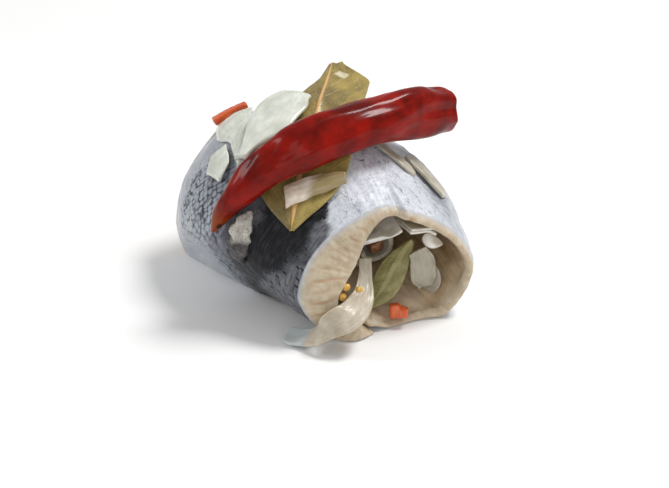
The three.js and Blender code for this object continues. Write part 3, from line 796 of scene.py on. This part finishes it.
def draped(start, end, left, right, height, thickness, lift=flat_lift):
    """A sheet from start to end in plan that follows the roll's top; left and right are its half widths."""
    start, end = np.array(start, float), np.array(end, float)
    length = np.linalg.norm(end - start)
    ax, ay = (end - start) / length

    def point(u, v, w):
        reach = np.where(v < 0, v * left(u), v * right(u))
        x = start[0] + u * length * ax + reach * ay
        y = start[1] + u * length * ay - reach * ax
        steep = steepness_at(x, y)
        z = roof_at(x, y) + steep * (height + w * thickness) + lift(u, v, x, y)
        return np.stack([x, y, z], -1)

    point.length = length
    return point


def thin_piece(name, node, slot, point, nu, nv, material, length, width, share_u, share_v, relief, seed,
               extra=None, fields=None):
    """A sheet with relief added: extra(u, v) is more relief, and length and width set the size of its grain."""
    points, faces, u, v, side = sheet(point, nu, nv, share_u, share_v)
    quads = np.vstack(faces)
    normal = vertex_normals(points, quads)
    shift = relief * ripple(np.stack([u * length, v * width], -1), 5.5, seed)
    shift = shift + 0.3 * relief * ripple(np.stack([u * length * 0.3, v * width], -1), 1.1, seed + 50)
    if extra is not None:
        shift = shift + extra(u, v)
    up = np.where(side > 0.5, 1.0, -1.0)
    edge = rounded(v, share_v) * rounded(2 * u - 1, share_u)
    points = points + (shift * up * edge)[:, None] * normal
    uv = np.stack([v * width, u * length] if slot == "bay_leaf" else [u * length, v * width], -1)
    add_piece(name, node, points, faces, material, uv, fields(u, v) if fields else None)


def leaf_left(u):
    return 11.5 * pointed(u / 0.25) * lerp(1, 0.13, smooth(0.56, 1, u) ** 0.95)


def leaf_right(u):
    return 12 * pointed(u / 0.27) * lerp(1, 0.26, smooth(0.84, 1, u))


def leaf_lift(u, v, x, y):
    line = lerp(47.1, 50.8, (u - 0.62) / 0.38) + np.where(v > 0, 0.8, -1.6) * v * v
    return np.maximum(0, line - roof_at(x, y)) * smooth(0.56, 0.68, u)


LEAF = draped((19.2, -22.2), (-18.8, 18), leaf_left, leaf_right, CLEAR, LEAF_THICKNESS, leaf_lift)


def leaf_spot(u, v):
    return {"pale": 0.8 * smooth(1.15, 0.8, np.abs(u - 0.905) / 0.032 + np.abs(v - 0.42) / 0.24)}


thin_piece("bay_leaf_on_top", "bay_leaf_top", "bay_leaf", LEAF, 150, 90, leaf_top, LEAF.length, 11.5,
           share_u=0.012, share_v=0.03, relief=0.09, seed=21,
           extra=lambda u, v: 0.35 * np.exp(-(v / 0.05) ** 2), fields=leaf_spot)
ON_LEAF = CLEAR + LEAF_THICKNESS


def sliver(size, low, high, end=1.05):
    """The half width of a slice that is blunt at both ends."""
    return lambda u: size * blunt((u + 0.1) / low) * blunt((end - u) / high)


thin_piece("onion_on_the_leaf", "onion_on_leaf", "onion",
           draped((14.1, -20.8), (21.2, -6.6), lambda u: 1.9 * lerp(1, 0.6, smooth(0.6, 1, u)),
                  lambda u: 2.1 * lerp(1, 0.5, smooth(0.6, 1, u)), ON_LEAF + 0.5, 1.3,
                  lambda u, v, x, y: 0.5 * (1 - v * v)),
           60, 26, onion_stained, 16, 2, 0.04, 0.22, 0.12, 31,
           fields=lambda u, v: {"stain": 0.95 * smooth(0.25, 0.7, u + 0.1 * v)})
thin_piece("onion_slice_a", "onion_top_a", "onion",
           draped((-3.2, -22), (-12.5, 2.2),
                  lambda u: 2.6 + 4.8 * smooth(0.05, 0.6, u) - 1.2 * smooth(0.8, 1, u),
                  lambda u: 1 + 6.4 * smooth(0, 0.45, u) - 3 * smooth(0.72, 1, u), ON_LEAF + 1.05,
                  SLICE_THICKNESS, lambda u, v, x, y: 0.3 + 1.5 * u**2.4 + 0.4 * (1 - v * v)),
           90, 40, onion_white, 26, 5, 0.03, 0.14, 0.1, 32)
thin_piece("onion_slice_b", "onion_top_b", "onion",
           draped((-4.2, -21.6), (-26.3, -8.3),
                  lambda u: 1.3 + 1.2 * smooth(0, 0.4, u) + 3.6 * smooth(0.42, 0.75, u),
                  lambda u: 2 + 2 * smooth(0.2, 1, u), CLEAR, SLICE_THICKNESS,
                  lambda u, v, x, y: 0.4 * (1 - v * v)),
           90, 40, onion_white, 27, 5, 0.03, 0.14, 0.1, 33)
thin_piece("onion_slice_c", "onion_top_c", "onion",
           draped((-8, -26), (-17, -19.7),
                  lambda u: 4 * np.minimum(1, 0.1 + 0.9 * u / 0.6) * lerp(1, 0.8, smooth(0.6, 1, u)),
                  lambda u: 2.3 * np.minimum(1, 0.15 + 0.85 * u / 0.3) * lerp(1, 0.6, smooth(0.4, 1, u)),
                  CLEAR, 1),
           60, 30, onion_white, 14, 2.2, 0.05, 0.25, 0.08, 34)
thin_piece("onion_back_a", "onion_right", "onion",
           draped((16, 17.4), (26.6, 21.6), sliver(2.6, 0.4, 0.5), sliver(2.2, 0.4, 0.5), CLEAR, 1.1),
           50, 28, onion_glass, 11, 2.4, 0.06, 0.25, 0.08, 35)
thin_piece("onion_back_b", "onion_right_inner", "onion",
           draped((13, 10.2), (22.6, 14.6), *[sliver(1.6, 0.3, 0.4, 1.03)] * 2, CLEAR, 1),
           50, 24, onion_glass, 11, 1.6, 0.06, 0.3, 0.08, 36)

# ---- Bands, rings and sticks ----


def band(path, side, half_width, thickness, side_end=None, bow=0.0):
    """A strip along path; side points across it, turning to side_end, and bow lifts its middle."""
    side = np.array(side, float)
    side_end = side if side_end is None else np.array(side_end, float)
    width = half_width if callable(half_width) else (lambda u: half_width + 0 * u)

    def point(u, v, w):
        tangent = curve_tangents(path, u)
        facing = lerp(side, side_end, smooth(0.45, 0.85, u)[..., None])
        across = unit(facing - tangent * np.sum(facing * tangent, -1, keepdims=True))
        normal = np.cross(tangent, across)
        height = (w - 0.5) * thickness + bow * (1 - v * v)
        return curve_points(path, u) + across * (v * width(u))[..., None] + normal * height[..., None]

    return point


def petal(start, end, radius, thickness, front):
    """A curled onion layer round the filling's path, from one angle to another."""

    def point(u, v, w):
        angle = np.radians(lerp(start, end, (v + 1) / 2)) + 0.5 * u
        out = (radius + w * thickness) * (1 + 0.04 * np.sin(9 * u + 2 * v))
        centre = curve_points(FILLING_PATH, lerp(front, 1, u))
        x = centre[..., 0] + 0.8 * np.sin(3 * v) * (1 - u)
        return np.stack([x, centre[..., 1] + out * np.cos(angle), centre[..., 2] + out * np.sin(angle)], -1)

    return point


def stick(name, node, point, nu, length, width, height, end_share=0.08, shape=None, material=carrot):
    """A cut stick of carrot: a rounded square section along a band's path."""
    u = ends_crowded(nu)[:, None]
    turn = np.linspace(0, 2 * np.pi, 44, endpoint=False)[None, :]
    c, s = np.cos(turn), np.sin(turn)
    r = (np.abs(c) ** 7 + np.abs(s) ** 7) ** (-1 / 7)
    tip = np.maximum(rounded(2 * u - 1, end_share) ** 0.6, 0.02)
    v, w = r * c * tip, 0.5 + 0.5 * r * s * tip
    along = u + 0 * v if shape is None else shape(u + 0 * v, v, w)
    p = point(along, v, w)
    p = p + 0.07 * ripple(p, 2.2, 61)[..., None] * unit(p - p.mean(1, keepdims=True))
    flat = np.vstack([p.reshape(-1, 3), p[0].mean(0), p[-1].mean(0)])
    uv = np.stack([(turn * (width + height) / np.pi + 0 * u).ravel(), (along * length).ravel()], -1)
    uv = np.vstack([uv, [0, 0], [0, length]])
    add_piece(name, node, flat, tube_faces(*v.shape), material, uv)


def notch_top(u, v, w):
    return u * (1 - 0.34 * smooth(0.0, 0.2, v) * smooth(0.3, 1, u))


stick("carrot_stick", "carrot_top",
      band([[-31.9, -12.8, 38.1], [-30.7, -8, 40.1], [-29.3, -3.2, 41.7]], [1, -0.4, 0.2], 1.5, 2.2),
      26, 10, 3, 2.2)
stick("carrot_chunk", "carrot_mouth",
      band([[34.4, 1, 2.8], [34.1, 1.1, 4.6], [33.8, 1.2, 6.5]], [0.59, 0.81, 0], 2.4, 3),
      26, 4, 4.8, 3, end_share=0.16, shape=notch_top)
stick("carrot_heart", "carrot_core", band(FILLING_PATH, [0, 1, 0.3], 1.8, 3.4),
      60, 52, 3.6, 3.4, end_share=0.03, material=carrot_dull)


def layered(name, node, point, layers, length, width, seed):
    """An onion piece as nested skins; each is (from, to, how far its front edge reaches)."""
    for i, (low, high, reach) in enumerate(layers):
        def skin(u, v, w, low=low, high=high, reach=reach, i=i):
            edge = reach - 0.02 * np.sin(7 * u + 2 * i)
            return point(u, np.where(v > 0, v * edge, v), lerp(low, high, w))

        thin_piece(f"{name}_{i + 1}", node, "onion", skin, 50, 36, onion_layers, length, width,
                   0.05, 0.06, 0.06, seed + i)


layered("onion_band_upper", "onion_mouth_upper",
        band([[21.6, -4.6, 23.4], [23, 2.2, 24.2], [24.8, 6.4, 26.6]], [1, 0.12, 0.05], 6.8, 1.7),
        [(0, 0.28, 0.98), (0.36, 0.62, 0.9), (0.72, 1, 0.82)], 12, 6.8, 41)
layered("onion_band_lower", "onion_mouth_lower",
        band([[27.2, 7, 25.2], [28.2, 11.2, 24.5], [28.8, 14, 22.8]], [1, 0.1, 0.02], 6, 1.6),
        [(0, 0.42, 0.98), (0.52, 1, 0.9)], 8, 6, 44)
thin_piece("onion_sheet_hanging", "onion_hanging", "onion",
           band([[29.5, 10.5, 17.4], [30.8, 11.2, 14.5], [31.4, 11.2, 10.6], [32, 11.5, 7.2]], [0.45, 0.9, 0],
                lambda u: 2.6 + 0.9 * smooth(0, 0.4, u) - 1.6 * smooth(0.72, 1, u), 1, bow=-0.5),
           60, 40, onion_dim, 10, 3, 0.05, 0.15, 0.12, 43)
thin_piece("onion_sheet_pale", "onion_pale", "onion",
           band([[30, 14.3, 11.8], [31.4, 14.5, 8.5], [31.4, 13, 5.3]], [0.8, 0.35, -0.3],
                lambda u: 2.4 * blunt((u + 0.08) / 0.4) * blunt((1.08 - u) / 0.5), 0.8),
           50, 36, onion_glass, 7, 2.4, 0.06, 0.18, 0.08, 44)
thin_piece("bay_leaf_inside", "bay_leaf_mouth", "bay_leaf",
           band([[26.1, 11.5, 18.6], [26.8, 5.2, 12.9], [27.9, 0.4, 8.1], [29.2, -5, 5.4]], [0.85, 0.36, -0.36],
                lambda u: 3.9 * np.sin(np.pi * (0.03 + 0.94 * u)) ** 0.8, 0.6, bow=0.6),
           90, 44, leaf_mouth, 24, 3.9, 0.02, 0.08, 0.1, 45)
thin_piece("onion_strip", "onion_tail", "onion",
           band([[26.6, -4.4, 18.6], [28.8, -6, 15.2], [33.3, -10.2, 11.9], [36.8, -16.8, 10.5],
                 [34.9, -21.1, 8.3], [31.5, -23.1, 4.4], [27.2, -24.5, 2.2], [23.2, -27.4, 1.8]],
                [0.75, 0.55, -0.35], lambda u: (1.7 + 2.1 * smooth(0.1, 0.42, u) - 0.9 * smooth(0.45, 0.7, u))
                * blunt((1.015 - u) / 0.08), 1,
                side_end=[0.66, -0.75, -0.32]),
           130, 40, onion_strip, 44, 3, 0.02, 0.15, 0.1, 46,
           fields=lambda u, v: {"stain": smooth(0.72, 0.88, u)})

for name, start, end, radius, thickness, front in (
        ("onion_ring_inner", 190, 400, 3.7, 1.4, 0.02), ("onion_ring_middle", -50, 175, 6.1, 1.5, 0.165),
        ("onion_ring_outer", 120, 318, 8.7, 1.4, 0.21), ("onion_ring_top", -34, 112, 9.2, 1.6, 0.2)):
    thin_piece(name + "_layer", name, "onion", petal(start, end, radius, thickness, front),
               60, 70, onion_glass, 45, radius * 2, 0.02, 0.05, 0.06, 70)


def onion_lump():
    def point(s, turn):
        girth = np.sin(np.pi * np.clip(s, 0, 1)) ** 0.6 * lerp(2.5, 1.3, s)
        dent = 1 + 0.12 * np.sin(3 * turn + 2)
        return np.stack([
            lerp(30.2, 33.4, s) + 0.9 * girth * dent * np.cos(turn),
            lerp(11.4, 15.9, s) - 0.6 * girth * np.cos(turn),
            lerp(20.7, 19.3, s) + girth * dent * np.sin(turn)], -1)

    points, faces, s, turn = tube(point, 40, 44)
    add_piece("onion_end", "onion_lump", points, faces, onion_layers,
              np.stack([turn * 2, s * 5], -1))


onion_lump()

# ---- The chilli ----

CHILLI_RADIUS, CHILLI_LENGTH = 6, 88
CHILLI_PATH = [[0.3, -34.2, 24], [3.2, -31.3, 31.3], [6.2, -27.3, 37.6], [9.6, -21.3, 43.4], [12.6, -13.4, 47.6],
               [14.8, -1, 49.8], [15, 12, 49.7], [14.3, 24, 48.3], [13.7, 36, 46.2]]


def knob(s, turn, s_at, turn_at, s_size, turn_size):
    """A soft bump on a tube, 1 at its middle."""
    return np.exp(-((s - s_at) / s_size) ** 2 - (2 * np.sin((turn - turn_at) / 2) / turn_size) ** 2)


def chilli():
    def point(s, turn):
        tangent = curve_tangents(CHILLI_PATH, s)
        across = unit([1.0, 0, 0] - tangent * tangent[..., :1])
        normal = np.cross(across, tangent)
        tip = np.minimum(1, s / 0.46) ** 0.6
        end = np.sqrt(np.clip(1 - smooth(0.93, 1, s) ** 6, 0, 1))
        crease = 1 - 0.14 * smooth(0.8, 0.98, s) * np.abs(np.cos(turn - 0.2)) ** 8
        folds = crease * (1 + 0.05 * np.sin(3 * turn + 5 * s) + 0.035 * np.sin(2 * turn - 17 * s))
        girth = 1 + 0.07 * smooth(0.5, 0.75, s) - 0.12 * smooth(0.84, 0.97, s)
        radius = CHILLI_RADIUS * girth * tip * np.maximum(end, 0.7) * folds
        around = radius[..., None] * np.stack([np.cos(turn), np.sin(turn)], -1)
        place = np.concatenate([around * 1.6, (s * CHILLI_LENGTH)[..., None]], -1)
        dents = 0.26 * ripple(place * [1, 1, 0.7], 11, 81) + 0.07 * ripple(place * [1, 1, 0.8], 4.6, 82)
        dents = dents + 0.5 * knob(s, turn, 0.47, 1.0, 0.035, 0.45) - 0.55 * knob(s, turn, 0.41, 1.35, 0.03, 0.5)
        dents = dents + 0.45 * knob(s, turn, 0.8, 1.2, 0.05, 0.3) - 0.5 * knob(s, turn, 0.9, 1.3, 0.03, 0.4)
        radius = radius + dents * smooth(0, 0.12, s)
        radius = np.where((s <= 0) | (s >= 1), 0, radius)
        lean = -1.3 * smooth(0.9, 1, s) * np.sin(turn)
        groove = lean - 2.2 * smooth(0.96, 1, s) * np.abs(np.cos(turn)) ** 3 - 1.7 * smooth(0.9, 1, s)
        return (curve_points(CHILLI_PATH, s) + across * (radius * np.cos(turn))[..., None]
                + normal * (1.02 * radius * np.sin(turn))[..., None] + tangent * groove[..., None])

    points, faces, s, turn = tube(point, 190, 84)
    add_piece("chilli_pod", "chilli", points, faces, chilli_skin,
              np.stack([turn * 5, s * CHILLI_LENGTH], -1),
              {"tip": smooth(0.18, 0.03, s), "spot": knob(s, turn, 0.055, 0.3, 0.022, 0.5),
               "cut": smooth(0.985, 1, s)})


chilli()

# ---- Floor, lights and camera ----


# In metres. The drop keeps the floor's surface clear of the roll's flat underside.
FLOOR_REACH, FLOOR_DROP = 3.0, 0.00002


def floor_material():
    m = Shader("floor")
    shade = colour(246, 246, 246)
    grain = m.noise(m.place(), 0.02, 2)
    return m.set(Base_Color=m.fade(grain, 0.3, 0.7, 1.0, shade, scaled(shade, 0.98)),
                 Roughness=0.9)


def floor():
    r = FLOOR_REACH
    mesh = bpy.data.meshes.new("floor")
    mesh.from_pydata([(-r, -r, 0), (r, -r, 0), (r, r, 0), (-r, r, 0)], [], [(0, 1, 2, 3)])
    obj = new_object("floor", mesh)
    obj.location.z = -FLOOR_DROP
    mesh.materials.append(floor_material())


def area_light(name, place, size, energy, tint=(1, 1, 1)):
    light = bpy.data.lights.new(name, "AREA")
    light.shape, light.size, light.energy, light.color = "DISK", size, energy, tint
    obj = new_object(name, light)
    obj.location = place
    way = Vector((0, 0, 0.02)) - Vector(place)
    obj.rotation_euler = way.to_track_quat("-Z", "Y").to_euler()


AIM_HEIGHT = 20.0


def camera(azimuth=54, elevation=28, distance=450, focal=1665, width=669, height=488, seen_at=(319, 211)):
    """The photograph's view: the point AIM_HEIGHT above the roll's own middle shows at pixel seen_at."""
    az, el = np.radians(azimuth), np.radians(elevation)
    back = np.array([np.sin(az) * np.cos(el), -np.cos(az) * np.cos(el), np.sin(el)])
    right = np.array([np.cos(az), np.sin(az), 0])
    up = np.cross(right, -back)
    per_mm = focal / distance
    aim = np.array([0, 0, AIM_HEIGHT]) + SHIFT
    aim = aim + right * (width / 2 - seen_at[0]) / per_mm + up * (seen_at[1] - height / 2) / per_mm
    data = bpy.data.cameras.new("camera")
    data.sensor_width, data.lens = 36, focal * 36 / width
    data.clip_start, data.clip_end = 0.01, 20
    obj = new_object("camera", data)
    turn = Matrix((right, up, back)).transposed()
    obj.matrix_world = Matrix.Translation(Vector((aim + back * distance) * MM)) @ turn.to_4x4()
    bpy.context.scene.camera = obj


def studio(strength):
    world = bpy.data.worlds.new("studio")
    world.use_nodes = True
    background = world.node_tree.nodes["Background"]
    background.inputs["Color"].default_value = (1, 1, 1, 1)
    background.inputs["Strength"].default_value = strength
    bpy.context.scene.world = world
    bpy.context.scene.view_settings.view_transform = "Standard"


floor()
area_light("key", (0.14, 0.42, 0.82), 0.3, 6.2, (1.0, 0.995, 0.985))
area_light("fill", (0.85, -0.45, 0.35), 0.8, 1.9)
area_light("side", (-0.6, -0.65, 0.42), 0.34, 1.9)
studio(0.44)
camera()
